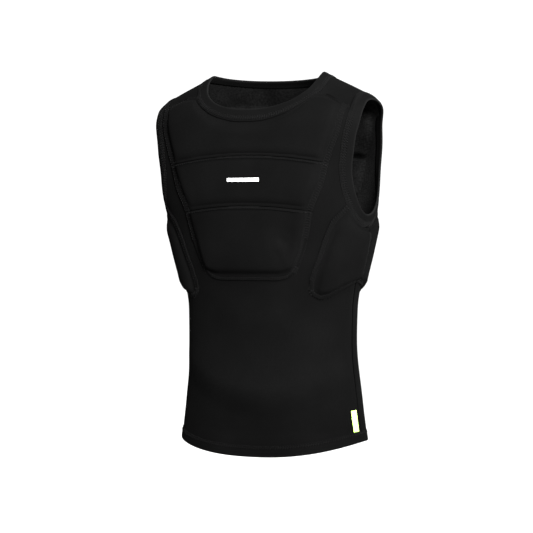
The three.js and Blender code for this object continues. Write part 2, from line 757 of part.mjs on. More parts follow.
const padNames = ['upper', 'middle', 'lower'];
padEdges(CHEST_SEAMS, -1).forEach((edges, i) => {
  add(`chest_pad_${padNames[i]}`, torsoPad(edges, -1, CHEST_PAD_THICKNESS), BLACK_JERSEY);
});
padEdges(BACK_SEAMS, 1).forEach((edges, i) => {
  add(`back_pad_${padNames[i]}`, torsoPad(edges, 1, BACK_PAD_THICKNESS), BLACK_JERSEY);
});
for (const [facingName, facing] of [['front', -1], ['back', 1]]) {
  for (const [sideName, mirror] of [['left', false], ['right', true]]) {
    add(`side_pad_${facingName}_${sideName}`, sidePad(facing, mirror), BLACK_JERSEY);
  }
}

add('hem_label', hemLabel(), LIME_WOVEN);
add('chest_print', chestPrint(), PALE_PRINT);

export default vest;
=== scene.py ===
"""Impact vest: black neoprene pullover with padded chest, back and sides."""
import math

import bpy
import numpy as np
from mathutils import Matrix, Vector
from mathutils.bvhtree import BVHTree


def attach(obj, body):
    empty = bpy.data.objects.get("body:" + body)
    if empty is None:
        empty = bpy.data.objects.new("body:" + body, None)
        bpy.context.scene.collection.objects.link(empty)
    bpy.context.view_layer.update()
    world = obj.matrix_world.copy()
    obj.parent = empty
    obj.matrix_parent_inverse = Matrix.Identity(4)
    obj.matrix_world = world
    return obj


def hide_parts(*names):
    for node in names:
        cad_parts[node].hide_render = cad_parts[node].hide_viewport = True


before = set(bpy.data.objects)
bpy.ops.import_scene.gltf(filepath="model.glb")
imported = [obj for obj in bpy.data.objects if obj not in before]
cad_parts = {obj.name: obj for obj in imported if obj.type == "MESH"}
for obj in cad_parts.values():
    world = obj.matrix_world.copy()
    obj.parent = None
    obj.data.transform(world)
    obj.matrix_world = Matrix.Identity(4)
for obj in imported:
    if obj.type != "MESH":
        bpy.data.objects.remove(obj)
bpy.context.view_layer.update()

MM = 0.001

# Driving sizes in millimetres, as in the part's source
BODY_LENGTH, HALF_WIDTH, CHEST_DEPTH, HEM_RISE = 647.0, 200.0, 220.0, 22.0
NECK_HALF, NECK_FRONT, NECK_BACK = 102.0, 80.0, 74.0
NECK_FRONT_POWER, NECK_BACK_POWER = 2.7, 2.0
ARM_DROP, ARM_HEIGHT, ARM_HALF, ARM_SET_BACK = 48.0, 192.0, 66.0, 5.0
ARM_UPPER_POWER, ARM_LOWER_POWER = 2.6, 2.1
NECK_BAND, ARM_BAND, HEM_BAND = 20.0, 22.0, 16.5
CHEST_PAD, BACK_PAD, SIDE_PAD = 11.0, 12.0, 12.0
PAD_GAP, LAY = 1.0, 0.3

# The worn form: height, half width, middle, front, back, front power, back power,
# as shares of the body length, the half width and the chest depth
FORM = np.array([
    [0.006, 0.49, 0, 0.09, 0.205, 2.0, 2.0],
    [-0.009, 0.57, 0, 0.16, 0.355, 2.0, 2.0],
    [-0.025, 0.68, 0, 0.2, 0.4, 2.0, 2.0],
    [-0.046, 0.82, 0, 0.245, 0.427, 2.1, 2.1],
    [-0.071, 0.95, 0, 0.305, 0.46, 2.4, 2.7],
    [-0.096, 0.995, -0.032, 0.33, 0.51, 2.8, 3.1],
    [-0.139, 1.0, -0.064, 0.34, 0.55, 3.0, 3.3],
    [-0.201, 0.985, -0.06, 0.36, 0.577, 3.0, 3.4],
    [-0.274, 0.95, -0.037, 0.39, 0.577, 3.0, 3.3],
    [-0.325, 0.93, -0.009, 0.42, 0.564, 2.9, 3.1],
    [-0.379, 0.9, 0.028, 0.45, 0.54, 2.7, 2.9],
    [-0.464, 0.84, 0.05, 0.45, 0.518, 2.5, 2.7],
    [-0.556, 0.77, 0.06, 0.427, 0.51, 2.4, 2.5],
    [-0.618, 0.745, 0.064, 0.414, 0.505, 2.3, 2.4],
    [-0.711, 0.74, 0.069, 0.41, 0.51, 2.3, 2.3],
    [-0.866, 0.785, 0.083, 0.436, 0.536, 2.3, 2.3],
    [-1.005, 0.84, 0.092, 0.464, 0.555, 2.3, 2.3],
    [-1.08, 0.86, 0.092, 0.473, 0.564, 2.3, 2.3],
])
FORM_SIZES = np.array([BODY_LENGTH, HALF_WIDTH, CHEST_DEPTH, CHEST_DEPTH, CHEST_DEPTH, 1, 1])

# Height and half width of the pads' side edge
PAD_EDGE = np.array([
    [-0.092, 0.85], [-0.114, 0.832], [-0.153, 0.81], [-0.204, 0.76], [-0.243, 0.72],
    [-0.297, 0.675], [-0.349, 0.6], [-0.379, 0.57], [-0.425, 0.535], [-0.47, 0.485],
    [-0.513, 0.415],
])
# Half width and height of the pads' top edge along the shoulder
SHOULDER_EDGE = np.array([
    [0.5, -0.062], [0.58, -0.064], [0.65, -0.066], [0.72, -0.076], [0.815, -0.09],
    [0.86, -0.095],
])
# Share across and height of the lower pads' bottom edge
PAD_BOTTOM = np.array([
    [0, -0.541], [0.6, -0.541], [0.78, -0.536], [0.9, -0.528], [1, -0.513],
])
# Middle height and drop of the arched seams
CHEST_SEAMS = [(-0.2205, 0.0216), (-0.3493, 0.0145)]
BACK_SEAMS = [(-0.205, 0.012), (-0.309, 0.012)]
PRINT_HEIGHT = -0.283
# Quarter turn and height of the side pads' front and bottom edges
SIDE_PAD_FRONT = np.array([
    [0.428, -0.564], [0.42, -0.54], [0.437, -0.505], [0.462, -0.475], [0.478, -0.44],
    [0.5, -0.41], [0.53, -0.384],
])
SIDE_PAD_BOTTOM = np.array([
    [0.428, -0.564], [0.46, -0.58], [0.53, -0.59], [0.62, -0.585], [0.72, -0.57],
    [0.87, -0.556], [1, -0.546],
])
SIDE_PAD_TOP = -0.348


def lerp(a, b, t):
    return a + (b - a) * t


def smoothstep(t):
    t = np.clip(t, 0, 1)
    return t * t * (3 - 2 * t)


def monotone(xs, ys, x):
    """A smooth curve through points that never overshoots them."""
    order = np.argsort(xs)
    xs, ys = np.asarray(xs, float)[order], np.asarray(ys, float)[order]
    h = np.diff(xs)
    d = np.diff(ys) / h
    m = np.zeros_like(ys)
    m[0], m[-1] = d[0], d[-1]
    for i in range(1, len(xs) - 1):
        if d[i - 1] * d[i] > 0:
            w1, w2 = 2 * h[i] + h[i - 1], h[i] + 2 * h[i - 1]
            m[i] = (w1 + w2) / (w1 / d[i - 1] + w2 / d[i])
    x = np.clip(x, xs[0], xs[-1])
    i = np.clip(np.searchsorted(xs, x) - 1, 0, len(xs) - 2)
    t = (x - xs[i]) / h[i]
    r = 1 - t
    return ((1 + 2 * t) * r * r * ys[i] + t * r * r * h[i] * m[i]
            + t * t * (3 - 2 * t) * ys[i + 1] - t * t * r * h[i] * m[i + 1])


# The form's curves at close heights, each softened over a few millimetres
HEIGHTS = np.arange(-690.0, 3.9, 0.5)
SOFTENING = 9


def softened(values):
    half = 3 * SOFTENING
    weights = np.exp(-0.5 * (np.arange(-half, half + 1) / SOFTENING) ** 2)
    ends = np.concatenate([
        2 * values[0] - values[half:0:-1], values, 2 * values[-1] - values[-2:-half - 2:-1]])
    return np.convolve(ends, weights / weights.sum(), "valid")


CURVES = np.array([
    softened(monotone(FORM[:, 0] * BODY_LENGTH, FORM[:, k] * FORM_SIZES[k], HEIGHTS))
    for k in range(1, 7)])


def middle_at(z):
    return np.interp(z, HEIGHTS, CURVES[1])


def section(y, z):
    """Middle, half width, depth and power of the form's half that holds y."""
    width, middle, front, back, front_power, back_power = (
        np.interp(z, HEIGHTS, curve) for curve in CURVES)
    fore = y < middle
    return middle, width, np.where(fore, front, back), np.where(fore, front_power, back_power)


def fullness(p):
    middle, width, depth, power = section(p[..., 1], p[..., 2])
    return (np.abs(p[..., 0] / width) ** power
            + np.abs((p[..., 1] - middle) / depth) ** power)


def form_point(q, z):
    """A point of the form, q quarter turns from the front's middle towards +X."""
    q, z = np.broadcast_arrays(np.asarray(q, float), np.asarray(z, float))
    s, c = np.sin(q * math.pi / 2), np.cos(q * math.pi / 2)
    middle = middle_at(z)
    _, width, depth, power = section(middle - c, z)
    x = width * np.sign(s) * np.abs(s) ** (2 / power)
    y = middle - depth * np.sign(c) * np.abs(c) ** (2 / power)
    return np.stack([x, y, z], -1)


def turn_of(p):
    middle, width, depth, power = section(p[..., 1], p[..., 2])
    across = np.abs(p[..., 0] / width) ** (power / 2)
    along = np.abs((p[..., 1] - middle) / depth) ** (power / 2)
    along = np.where(p[..., 1] < middle, along, -along)
    return np.arctan2(across, along) / (math.pi / 2)


def onto_form(p):
    middle, _, _, power = section(p[..., 1], p[..., 2])
    grow = fullness(p) ** (-1 / power)
    return np.stack([p[..., 0] * grow, middle + (p[..., 1] - middle) * grow, p[..., 2]], -1)


def outward(p):
    """The form's outward direction at points."""
    middle, width, depth, power = section(p[..., 1], p[..., 2])
    u, v = p[..., 0] / width, (p[..., 1] - middle) / depth
    lift = np.array([0, 0, 1.0])
    n = np.stack([
        power * np.sign(u) * np.abs(u) ** (power - 1) / width,
        power * np.sign(v) * np.abs(v) ** (power - 1) / depth,
        (fullness(p + lift) - fullness(p - lift)) / 2,
    ], -1)
    return n / np.linalg.norm(n, axis=-1, keepdims=True)


def raised(p, height):
    return p + outward(p) * np.asarray(height)[..., None]


def across_point(x, z, facing):
    """The point of the form at a distance x from the middle, in front or behind."""
    x, z = np.broadcast_arrays(np.asarray(x, float), np.asarray(z, float))
    middle = middle_at(z)
    _, width, depth, power = section(middle + facing, z)
    inside = 1 - np.clip(np.abs(x / width), 0, 1) ** power
    return np.stack([x, middle + facing * depth * inside ** (1 / power), z], -1)


def side_point(y, z):
    y, z = np.broadcast_arrays(np.asarray(y, float), np.asarray(z, float))
    middle, width, depth, power = section(y, z)
    inside = 1 - np.clip(np.abs((y - middle) / depth), 0, 1) ** power
    return np.stack([width * inside ** (1 / power), y, z], -1)


# Loops round the openings
LOOP = 240
quarter = LOOP // 4
even = np.arange(LOOP) % quarter / quarter * math.pi / 2
COLUMN_POWER = 1.3
TURNS = np.arange(LOOP) // quarter + np.arctan2(
    np.sin(even) ** COLUMN_POWER, np.cos(even) ** COLUMN_POWER) / (math.pi / 2)


def hem_height(q):
    return -BODY_LENGTH + HEM_RISE * (1 - np.cos(math.pi * q)) / 2


def neck_points(angles):
    s, c = np.sin(angles), np.cos(angles)
    depth = np.where(c > 0, NECK_FRONT, NECK_BACK)
    power = 2 / np.where(c > 0, NECK_FRONT_POWER, NECK_BACK_POWER)
    x, y = NECK_HALF * np.sign(s) * np.abs(s) ** power, -depth * np.sign(c) * np.abs(c) ** power
    low, high = np.full_like(x, -BODY_LENGTH / 2), np.full_like(x, HEIGHTS[-1])
    for _ in range(30):
        z = (low + high) / 2
        outside = fullness(np.stack([x, y, z], -1)) > 1
        high, low = np.where(outside, z, high), np.where(outside, low, z)
    return np.stack([x, y, (low + high) / 2], -1)


def arm_points(angles):
    s, c = np.sin(angles), -np.cos(angles)
    power = 2 / np.where(c > 0, ARM_UPPER_POWER, ARM_LOWER_POWER)
    y = ARM_SET_BACK - ARM_HALF * np.sign(s) * np.abs(s) ** power
    rise = ARM_HEIGHT / 2 * (1 + np.sign(c) * np.abs(c) ** power)
    return side_point(y, -ARM_DROP - ARM_HEIGHT + rise)


def evened(loop):
    """The same closed loop with its points at even distances."""
    closed = np.vstack([loop, loop[:1]])
    length = np.concatenate([[0], np.cumsum(np.linalg.norm(np.diff(closed, axis=0), axis=1))])
    at = np.arange(len(loop)) / len(loop) * length[-1]
    return onto_form(np.stack([np.interp(at, length, closed[:, k]) for k in range(3)], -1))


def moved(loop, distance, steps=8):
    """A closed loop moved sideways over the form."""
    for _ in range(steps):
        along = np.roll(loop, -2, 0) - np.roll(loop, 2, 0)
        away = np.cross(along, outward(loop))
        away /= np.linalg.norm(away, axis=1, keepdims=True)
        loop = onto_form(loop + away * distance / steps)
    return loop


full_turn = 2 * math.pi * np.arange(LOOP) / LOOP
neck_loop = neck_points(full_turn)
hem_loop = form_point(TURNS, hem_height(TURNS))
arm_loop = evened(arm_points(full_turn))


def sign_towards(loop, index, direction):
    return np.sign((moved(loop, 1)[index] - loop[index]) @ np.array(direction))


neck_sign = sign_towards(neck_loop, 0, (0, 0, -1.0))
hem_sign = sign_towards(hem_loop, 0, (0, 0, 1.0))
arm_sign = sign_towards(arm_loop, quarter, (0, -1.0, 0))


def neck_edge(distance):
    return moved(neck_loop, neck_sign * distance)


def hem_edge(distance):
    return moved(hem_loop, hem_sign * distance)


def arm_edge(distance):
    return moved(arm_loop, arm_sign * distance)


def mirrored(points):
    return points * np.array([-1.0, 1, 1])


# Meshes from grids of points, whose first axis runs across and second axis up
ACROSS, UP = 0, 1


def make_mesh(name, verts, faces, uvs=None, painted_light=None):
    """A smooth mesh in metres from points in millimetres."""
    mesh = bpy.data.meshes.new(name)
    mesh.from_pydata((np.asarray(verts) * MM).tolist(), [], [list(face) for face in faces])
    if uvs is not None:
        layer = mesh.uv_layers.new(name="weave")
        index = np.zeros(len(mesh.loops), int)
        mesh.loops.foreach_get("vertex_index", index)
        layer.data.foreach_set("uv", (np.asarray(uvs)[index] * MM).astype(np.float32).ravel())
    # Per-point share of painted light: highlight on the bands and belly, shade on the lining
    if painted_light is not None:
        attribute = mesh.attributes.new("painted_light", "FLOAT", "POINT")
        attribute.data.foreach_set("value", np.asarray(painted_light, np.float32))
    mesh.polygons.foreach_set("use_smooth", [True] * len(mesh.polygons))
    mesh.update()
    obj = bpy.data.objects.new(name, mesh)
    bpy.context.scene.collection.objects.link(obj)
    return obj


def face_out(obj):
    """Turns a closed mesh so that its faces point out."""
    mesh = obj.data
    mesh.calc_loop_triangles()
    co = np.zeros(len(mesh.vertices) * 3)
    mesh.vertices.foreach_get("co", co)
    tri = np.zeros(len(mesh.loop_triangles) * 3, int)
    mesh.loop_triangles.foreach_get("vertices", tri)
    a, b, c = co.reshape(-1, 3)[tri.reshape(-1, 3)].transpose(1, 0, 2)
    if np.einsum("ij,ij->i", a, np.cross(b, c)).sum() < 0:
        mesh.flip_normals()
    return obj


def lengths_along(points, axis):
    """Distances travelled along one axis of a grid of points."""
    steps = np.linalg.norm(np.diff(points, axis=axis), axis=-1)
    start = np.zeros_like(np.take(steps, [0], axis))
    return np.concatenate([start, np.cumsum(steps, axis)], axis)


def weave_of(points):
    """Distances across and up a grid, which the weave follows."""
    return np.stack([lengths_along(points, ACROSS), lengths_along(points, UP)], -1)


def grid_faces(columns, rows):
    i, j = np.meshgrid(np.arange(columns - 1), np.arange(rows - 1), indexing="ij")
    corner = i * rows + j
    return np.stack([corner, corner + rows, corner + rows + 1, corner + 1], -1).reshape(-1, 4)


def shell(name, outer, inner, keep=None, uvs=None, painted_light=None):
    """A closed mesh between two grids, over the faces that keep says."""
    columns, rows = outer.shape[:2]
    count = columns * rows
    faces = grid_faces(columns, rows)
    if keep is not None:
        faces = faces[keep(outer.reshape(-1, 3)[faces].mean(1))]
    edges = np.concatenate([faces[:, [k, (k + 1) % 4]] for k in range(4)])
    seen = {tuple(edge) for edge in edges.tolist()}
    rim = np.array([(b, a, a + count, b + count) for a, b in seen if (b, a) not in seen])
    rim = rim[np.lexsort(rim.T)]
    verts = np.concatenate([outer.reshape(-1, 3), inner.reshape(-1, 3)])
    every = np.concatenate([faces, faces[:, ::-1] + count, rim])
    used, back = np.unique(every, return_inverse=True)
    both = [None if a is None else np.concatenate([a, a])[used] for a in (
        None if uvs is None else uvs.reshape(-1, 2), None if painted_light is None else painted_light.ravel())]
    return face_out(make_mesh(name, verts[used], back.reshape(-1, 4), *both))


def ring(name, loops, heights, painted_light):
    """A closed band: profile points at each loop's own distance and height."""
    points = np.stack([raised(loop, np.full(len(loop), height))
                       for loop, height in zip(loops, heights)], 1)
    count, rows = points.shape[:2]
    i, j = np.meshgrid(np.arange(count), np.arange(rows), indexing="ij")
    k, l = (i + 1) % count, (j + 1) % rows
    faces = np.stack([i * rows + j, k * rows + j, k * rows + l, i * rows + l], -1).reshape(-1, 4)
    across = lengths_along(points, 1)
    along = np.broadcast_to(lengths_along(points[:, :1], 0), across.shape)
    weave = np.stack([along, across], -1).reshape(-1, 2)
    painted_mask = np.broadcast_to(painted_light, (count, rows)).ravel()
    return face_out(make_mesh(name, points.reshape(-1, 3), faces, weave, painted_mask))


# Materials
def node(tree, kind, links=(), **values):
    made = tree.nodes.new(kind)
    for key, value in values.items():
        if key in made.inputs:
            made.inputs[key].default_value = value
        else:
            setattr(made, key, value)
    for socket, source in links:
        tree.links.new(source, made.inputs[socket])
    return made


# Unevenness of the rows of loops, a loop's height and the fuzz as shares of the pitch,
# patches of drift a metre, and the span of tones from dark to light
UNEVEN, LOOP_SHAPE, FUZZ, DRIFT = 0.6, 0.8, 1.4, 11.0
TONE_SHIFT, DARKEST_TONE, LIGHTEST_TONE, SHEEN_SPREAD = -0.05, 0.05, 0.6, 0.45


def wave(tree, place, pitch, direction, detail):
    """Rows of loops along one direction of the weave."""
    made = node(tree, "ShaderNodeTexWave", [("Vector", place.outputs["UV"])],
                Scale=0.5 / (pitch * MM) / math.pi, Distortion=UNEVEN, bands_direction=direction)
    made.inputs["Detail Scale"].default_value = detail
    return made.outputs["Fac"]


def cloth(name, dark, light, pitch, bump, roughness=0.9, sheen=0.0, grain=0.5, painted_colour=None,
          gloss=0.0):
    """Knitted cloth: columns and rows of loops, grain, colour drift, and painted light mixed in by
    an attribute: highlights on the bands and belly, shade in the lining's hollows.
    """
    material = bpy.data.materials.new(name)
    material.use_nodes = True
    tree = material.node_tree
    shader = tree.nodes["Principled BSDF"]
    shader.inputs["Roughness"].default_value = roughness
    shader.inputs["Sheen Weight"].default_value = sheen
    shader.inputs["Sheen Roughness"].default_value = SHEEN_SPREAD
    shader.inputs["Specular IOR Level"].default_value = gloss
    place = node(tree, "ShaderNodeTexCoord")
    knit = node(tree, "ShaderNodeMath", [
        (0, wave(tree, place, pitch, "X", 2.0)),
        (1, wave(tree, place, pitch * LOOP_SHAPE, "Y", 1.0))], operation="MULTIPLY")
    fuzz = node(tree, "ShaderNodeTexNoise", [("Vector", place.outputs["Object"])],
                Scale=1 / (pitch * FUZZ * MM), Detail=3.0, Roughness=0.65)
    drift = node(tree, "ShaderNodeTexNoise", [("Vector", place.outputs["Object"])],
                 Scale=DRIFT, Detail=2.0, Roughness=0.5)
    height = node(tree, "ShaderNodeMix",
                  [("A", knit.outputs[0]), ("B", fuzz.outputs["Fac"])], Factor=grain)
    tone = node(tree, "ShaderNodeMath", [(0, height.outputs["Result"]), (1, drift.outputs["Fac"])],
                operation="MULTIPLY_ADD")
    tone.inputs[2].default_value = TONE_SHIFT
    ramp = node(tree, "ShaderNodeValToRGB", [("Fac", tone.outputs[0])])
    ramp.color_ramp.elements[0].position = DARKEST_TONE
    ramp.color_ramp.elements[1].position = LIGHTEST_TONE
    ramp.color_ramp.elements[0].color = (*dark, 1)
    ramp.color_ramp.elements[1].color = (*light, 1)
    colour = ramp.outputs["Color"]
    # Painted light: the attribute mixes in a paler colour as a painted highlight, a darker one as
    # painted shade
    if painted_colour:
        painted_mask = node(tree, "ShaderNodeAttribute", attribute_name="painted_light")
        patchy = node(tree, "ShaderNodeMath", [(0, painted_mask.outputs["Fac"]), (1, fuzz.outputs["Fac"])],
                      operation="MULTIPLY")
        mixed = node(tree, "ShaderNodeMix", [("Factor", patchy.outputs[0])], data_type="RGBA")
        tree.links.new(colour, mixed.inputs[6])
        mixed.inputs[7].default_value = (*painted_colour, 1)
        colour = mixed.outputs[2]
    tree.links.new(colour, shader.inputs["Base Color"])
    relief = node(tree, "ShaderNodeBump", [("Height", height.outputs["Result"])],
                  Strength=bump, Distance=pitch * 0.5 * MM)
    tree.links.new(relief.outputs["Normal"], shader.inputs["Normal"])
    return material


def grey(value):
    return value, value, value


# The jersey's paler painted_colour is a painted highlight over the belly
jersey = cloth("jersey_cloth", grey(0.0010), grey(0.0024), 1.1, 0.35, sheen=0.002,
               painted_colour=grey(0.0026))
# The band's paler painted_colour is a painted highlight along its free edge
band_cloth = cloth("band_cloth", grey(0.0011), grey(0.0026), 1.0, 0.35, sheen=0.002,
                   painted_colour=grey(0.0042))
# The lining's darker painted_colour is painted shade in the hollows between the pads' backs
lining_cloth = cloth("lining_cloth", grey(0.0006), grey(0.0062), 2.6, 0.9, grain=0.85,
                     sheen=0.006, painted_colour=grey(0.0003))
thread = cloth("thread_twist", grey(0.0036), grey(0.0068), 0.5, 0.4, roughness=0.6)
# Painted shade for needle holes and seam lines
painted_stitch_shade = cloth("painted_stitch_shade", grey(0.0004), grey(0.0015), 0.5, 0.4)
label_weave = cloth("label_weave", (0.40, 0.70, 0.11), (0.56, 0.88, 0.19), 0.7, 0.3,
                    roughness=0.7, sheen=0.05, grain=0.3, gloss=0.3)
print_film = cloth("print_film", (0.74, 0.74, 0.73), (0.88, 0.88, 0.87), 0.8, 0.15,
                   roughness=0.5, grain=0.6, gloss=0.3)


def finish_piece(obj, nodes, slot, *materials):
    for material in materials:
        obj.data.materials.append(material)
    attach(obj, "root")
    if nodes:
        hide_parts(*nodes)
    return obj


# Front and back panels, which run on under the bands
UNDER_BAND, PANEL_HALF, PANEL_CLOTH = 9.0, 245.0, 2.2
PANEL_ROWS, INNER_COLUMNS, INNER_END = 150, 60, 8.0
SEAM_COLUMNS = np.array([0.0, 0.4, 0.9, 1.6, 2.6, 4.0])


def panel_columns():
    """Shares from the middle to the seam, close together at the seam."""
    inner = np.linspace(0, 1 - INNER_END / PANEL_HALF, INNER_COLUMNS)
    return np.concatenate([inner, 1 - SEAM_COLUMNS[::-1] / PANEL_HALF])


def loop_quarter(loop, facing):
    return loop[:quarter + 1] if facing < 0 else loop[quarter:2 * quarter + 1][::-1]


def own_turn(p, facing):
    return turn_of(p) if facing < 0 else 2 - turn_of(p)


def own_point(turn, z, facing):
    return form_point(turn if facing < 0 else 2 - turn, z)


hem_inner, neck_inner = hem_edge(HEM_BAND - UNDER_BAND), neck_edge(NECK_BAND - UNDER_BAND)


def panel_points(facing, shares, rows):
    low, high = loop_quarter(hem_inner, facing), loop_quarter(neck_inner, facing)
    at = shares * quarter
    steps = np.arange(quarter + 1)

    def along(loop):
        turns = own_turn(loop, facing)
        turns[0] = 0
        return np.interp(at, steps, turns), np.interp(at, steps, loop[:, 2])

    (low_turn, low_z), (high_turn, high_z) = along(low), along(high)
    v = np.linspace(0, 1, rows + 1)
    turn = lerp(low_turn[:, None], high_turn[:, None], v)
    z = lerp(low_z[:, None], high_z[:, None], v)
    half = own_point(turn, z, facing)
    return np.concatenate([mirrored(half[:0:-1]), half])


def arm_distance(points):
    """Distance to an armhole's edge and whether a point lies inside it."""
    p = np.abs(points * np.array([1.0, 0, 0])) + points * np.array([0, 1.0, 1.0])
    near = np.full(len(p), 1e9)
    for part in np.array_split(np.arange(len(p)), max(1, len(p) // 4000)):
        near[part] = np.linalg.norm(p[part][:, None] - arm_loop, axis=-1).min(1)
    middle_z = -ARM_DROP - ARM_HEIGHT / 2
    power = np.where(p[:, 2] > middle_z, ARM_UPPER_POWER, ARM_LOWER_POWER)
    f = (np.abs((p[:, 1] - ARM_SET_BACK) / ARM_HALF) ** power
         + np.abs((p[:, 2] - middle_z) / (ARM_HEIGHT / 2)) ** power)
    return near, (f < 1) & (p[:, 0] > 60)


def outside_arms(points):
    near, inside = arm_distance(points)
    return ~inside & (near > ARM_BAND - UNDER_BAND)


def bump_at(x, z, x0, z0, wide, high, amount):
    return amount * np.exp(-((x - x0) / wide) ** 2 - ((z - z0) / high) ** 2)


# The belly's fold: its lowest height, its rise towards the sides, how far the cloth stands out
# above it, how far it falls in, its length down, its half width, and its painted highlight's
# strength
BELLY_LOW, BELLY_ARC, BELLY_OUT, BELLY_FALL = -557.0, 22.0, 8.0, 12.5
BELLY_LENGTH, BELLY_WIDE, BELLY_HIGHLIGHT = 58.0, 135.0, 0.7


def belly(x, z):
    """The cloth's rise over the belly with a fold below it, and the share of painted highlight
    above the fold.
    """
    over = z - BELLY_LOW - BELLY_ARC * ((x - 20) / 100) ** 2
    fallen = smoothstep((BELLY_LENGTH / 2 - over) / BELLY_LENGTH)
    above = np.exp(-(np.maximum(over, 0) / 95) ** 2)
    fade = np.exp(-((x - 12) / BELLY_WIDE) ** 4)
    return (BELLY_OUT * above - BELLY_FALL * fallen) * fade, above * (1 - fallen) * fade


def softness(p, facing):
    """Slow swells of the cloth, in millimetres."""
    x, z = p[..., 0], p[..., 2]
    if facing < 0:
        return (belly(x, z)[0] + bump_at(x, z, -90, -440, 50, 70, 1.2)
                + bump_at(x, z, 110, -470, 40, 90, -1.0))
    return (bump_at(x, z, 0, -430, 90, 60, -2.0) + bump_at(x, z, 0, -540, 110, 60, 2.0)
            + bump_at(x, z, -60, -600, 60, 25, -1.5))


# Dip at the seam and its reach, and where the swells fade out at the hem and the seams
SEAM_DIP, SEAM_REACH, FLAT_HEM, HEM_FADE, SEAM_FADE = 1.3, 1.6, 16.0, 30.0, 60.0
# The hollow above the pads on the shoulders: depth, height, place above the edge, and
# where it begins across and over what distance
YOKE_DEPTH, YOKE_TALL, YOKE_ABOVE, YOKE_INNER, YOKE_FADE = 4.0, 9.0, 4.0, 108.0, 14.0
shares = panel_columns()
seam_distance = (1 - np.concatenate([shares[:0:-1], shares])) * PANEL_HALF


def panel_height(p, facing):
    dip = SEAM_DIP * np.exp(-(seam_distance / SEAM_REACH) ** 2)[:, None]
    fade = (smoothstep((p[..., 2] + BODY_LENGTH - FLAT_HEM) / HEM_FADE)
            * smoothstep(seam_distance / SEAM_FADE)[:, None])
    x = np.abs(p[..., 0])
    edge = monotone(SHOULDER_EDGE[:, 0] * HALF_WIDTH, SHOULDER_EDGE[:, 1] * BODY_LENGTH, x)
    away = (p[..., 2] - edge - YOKE_ABOVE) / YOKE_TALL
    hollow = YOKE_DEPTH * np.exp(-away ** 2) * smoothstep((x - YOKE_INNER) / YOKE_FADE)
    return softness(p, facing) * fade - dip - hollow


def cut_cloth(points, keep):
    """Works out the size and area that a sheet lies flat with; nothing uses them."""
    corners = points[:-1, :-1], points[1:, :-1], points[1:, 1:], points[:-1, 1:]
    first, second = corners[2] - corners[0], corners[3] - corners[1]
    areas = np.linalg.norm(np.cross(first, second), axis=-1).ravel() / 2
    middles = sum(corners).reshape(-1, 3) / 4
    kept = areas[keep(middles)].sum() * MM ** 2
    width, length = (lengths_along(points, axis).max() * MM for axis in (0, 1))


cloth_pieces = []
for facing, label in ((-1, "front"), (1, "back")):
    points = panel_points(facing, shares, PANEL_ROWS)
    height = panel_height(points, facing)
    weave = weave_of(points)
    # Painted highlight on the belly above its fold
    lit_belly = belly(points[..., 0], points[..., 2])[1] * (facing < 0)
    outer, inner = raised(points, height), raised(points, height - PANEL_CLOTH)
    obj = shell(f"{label}_panel_cloth", outer, inner, outside_arms, weave, BELLY_HIGHLIGHT * lit_belly)
    cloth_pieces.append(finish_piece(obj, [f"{label}_panel"], "jersey", jersey))
    cut_cloth(points, outside_arms)


# Bands: a folded strip with a round free edge and a low edge where it is sewn on
def band_profile(width):
    """Distances and heights round the folded strip, from the free edge outside."""
    out = [(0.0, -1.3), (0.25, -0.4), (0.9, 0.35), (2.0, 0.75), (4.0, 0.9), (width * 0.35, 0.85),
           (width * 0.5, 0.8), (width * 0.65, 0.8), (width * 0.8, 0.7), (width - 2.0, 0.6),
           (width - 0.8, 0.35), (width, -0.2), (width, -1.5), (width - 0.3, -3.2)]
    back = [(width * 0.75, -3.5), (width * 0.5, -3.6), (width * 0.25, -3.5), (2.0, -3.3),
            (0.9, -2.9), (0.25, -2.2)]
    return out + back


# Distances from the free edge within which a band gets a painted highlight, full or a little, and
# the height under which none is painted
HIGHLIGHT_REACH, A_LITTLE, OUTSIDE = 1.5, 3.0, -2.0


def make_band(name, edge, width, nodes, mirror=False):
    profile = band_profile(width)
    loops = {d: edge(d) for d in sorted({d for d, _ in profile})}
    # Painted highlight along the folded free edge: full close to it, a little further in
    painted_light = np.array([1.0 if d < HIGHLIGHT_REACH and h > OUTSIDE else 0.25 if d < A_LITTLE else 0.0
                     for d, h in profile])
    obj = ring(name, [loops[d] for d, _ in profile], [h for _, h in profile], painted_light)
    if mirror:
        obj.data.transform(((-1, 0, 0, 0), (0, 1, 0, 0), (0, 0, 1, 0), (0, 0, 0, 1)))
        face_out(obj)
    cloth_pieces.append(finish_piece(obj, nodes, "band", band_cloth))


make_band("neck_band_cloth", neck_edge, NECK_BAND, ["neck_band"])
make_band("hem_band_cloth", hem_edge, HEM_BAND, ["hem_band"])
make_band("armhole_band_cloth_left", arm_edge, ARM_BAND, ["armhole_band_left"])
make_band("armhole_band_cloth_right", arm_edge, ARM_BAND, ["armhole_band_right"], mirror=True)


# Pads: flat rims, a crown, slow dents, and jersey that settles over the foam
RIM_THICKNESS, CROWN, RISE_POWER, FOOT = 1.3, 2.0, 2.2, 0.4
# Place across and up, half width, half height and rise of each slow dent
PAD_DENTS = [(70, -286, 24, 34, -6.5), (-96, -205, 22, 55, -2.0), (30, -118, 60, 16, -1.0),
             (-30, -288, 45, 30, 1.2)]
# The cloth's frames, the least sewn rim and the most travel, and its settings
SETTLE_FRAMES, SEWN, MOST_TRAVEL = 20, 3.0, 2.5
SETTLING = {"quality": 4, "mass": 0.3, "tension_stiffness": 12, "compression_stiffness": 12,
            "bending_stiffness": 2.0, "shrink_min": 0.02, "use_pressure": True,
            "uniform_pressure_force": 3.0}
# Steps of the pads' grids, which draw together at the edges
PAD_COLUMNS, PAD_ROWS, SIDE_PAD_STEPS, END_POWER = 73, 45, 41, 1.6
